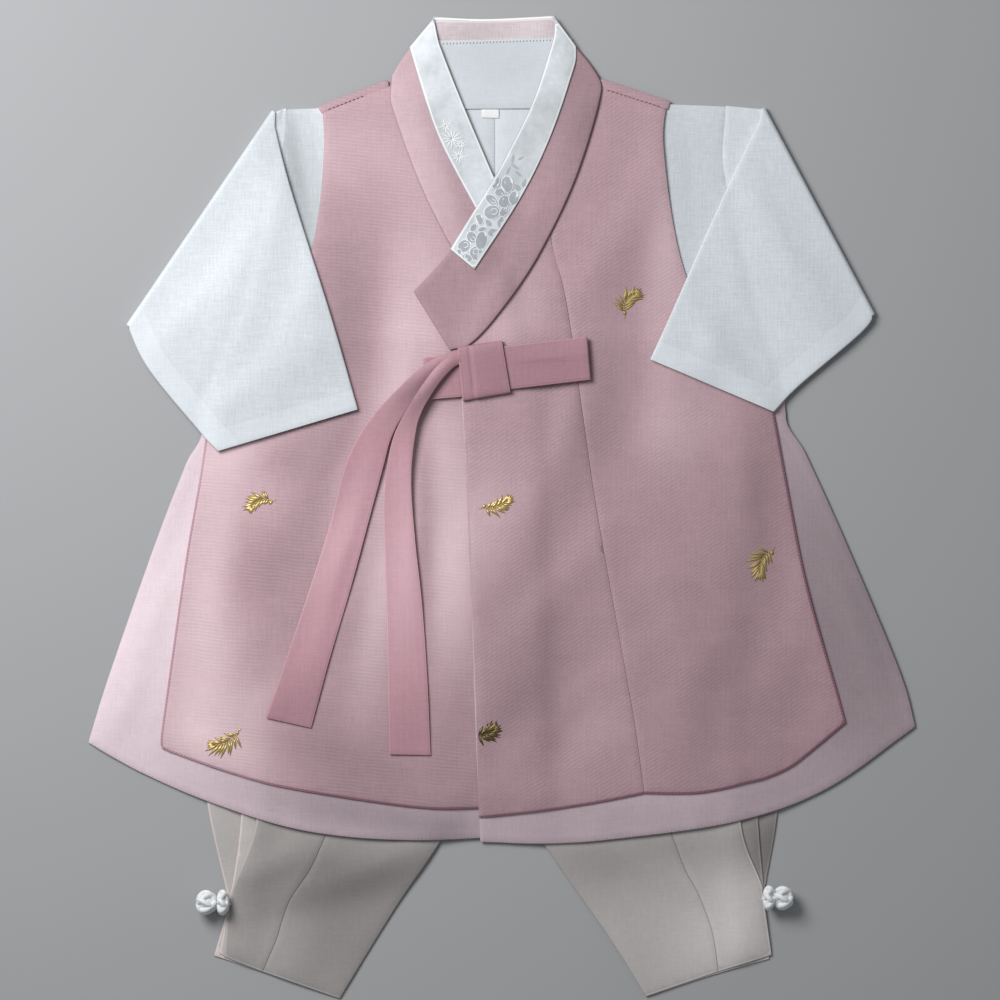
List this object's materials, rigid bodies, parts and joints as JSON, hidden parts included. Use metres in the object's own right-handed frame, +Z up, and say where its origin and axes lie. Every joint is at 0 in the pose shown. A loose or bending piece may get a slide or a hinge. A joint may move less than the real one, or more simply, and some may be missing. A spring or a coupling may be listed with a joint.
{
  "type": "korean hanbok",
  "caption": "Small child's hanbok laid flat: a wrap coat with white folded sleeves, a rose side-slit over-vest with white collar strip and tied ribbon, over cream trousers.",
  "frame": {"origin": "middle of the laid set's outline, on the surface it lies on", "axes": "+Y towards the neck, +X towards the wearer's left side (the viewer's right when seen from above), +Z up from the surface"},
  "size_m": [0.4966, 0.5906, 0.026],
  "materials": {
    "cream_silk": "woven silk-like cloth, soft sheen",
    "pale_rose_silk": "fine sheer organza over lining, soft sheen",
    "rose_silk": "fine sheer organza with stamped gold sprigs, soft sheen",
    "collar_rose": "interlined ribbed silk-like cloth",
    "ribbon_rose": "crisp organza ribbon",
    "white_silk": "slubbed white silk-like cloth, faintly blue",
    "white_brocade": "stiffened white collar strip, silver-grey floral brocade at its end",
    "white_cord": "satin cord",
    "label_tape": "plain woven tape, bare"
  },
  "bodies": {
    "root": {"ankle_button_left": "white_cord", "ankle_button_right": "white_cord", "ankle_loop_left": "white_cord", "ankle_loop_right": "white_cord", "coat_back_left": "pale_rose_silk", "coat_back_right": "pale_rose_silk", "coat_front_over": "pale_rose_silk", "coat_front_under": "pale_rose_silk", "collar_band_back": "collar_rose", "collar_band_over": "collar_rose", "collar_band_under": "collar_rose", "collar_strip_back": "white_brocade", "collar_strip_over": "white_brocade", "collar_strip_under": "white_brocade", "label": "label_tape", "neck_facing": "white_silk", "ribbon_knot": "ribbon_rose", "ribbon_loop": "ribbon_rose", "ribbon_tail_inner": "ribbon_rose", "ribbon_tail_outer": "ribbon_rose", "sleeve_left": "white_silk", "sleeve_right": "white_silk", "trouser_back_left": "cream_silk", "trouser_back_right": "cream_silk", "trouser_front_inner_left": "cream_silk", "trouser_front_inner_right": "cream_silk", "trouser_front_outer_left": "cream_silk", "trouser_front_outer_right": "cream_silk", "trouser_pleat_left": "cream_silk", "trouser_pleat_right": "cream_silk", "trouser_waistband": "cream_silk", "vest_back": "rose_silk", "vest_front_over": "rose_silk", "vest_front_under": "rose_silk", "vest_overlap": "rose_silk", "vest_shoulder_left": "rose_silk", "vest_shoulder_right": "rose_silk", "yoke_front_over": "white_silk", "yoke_front_under": "white_silk"}
  },
  "joints": []
}
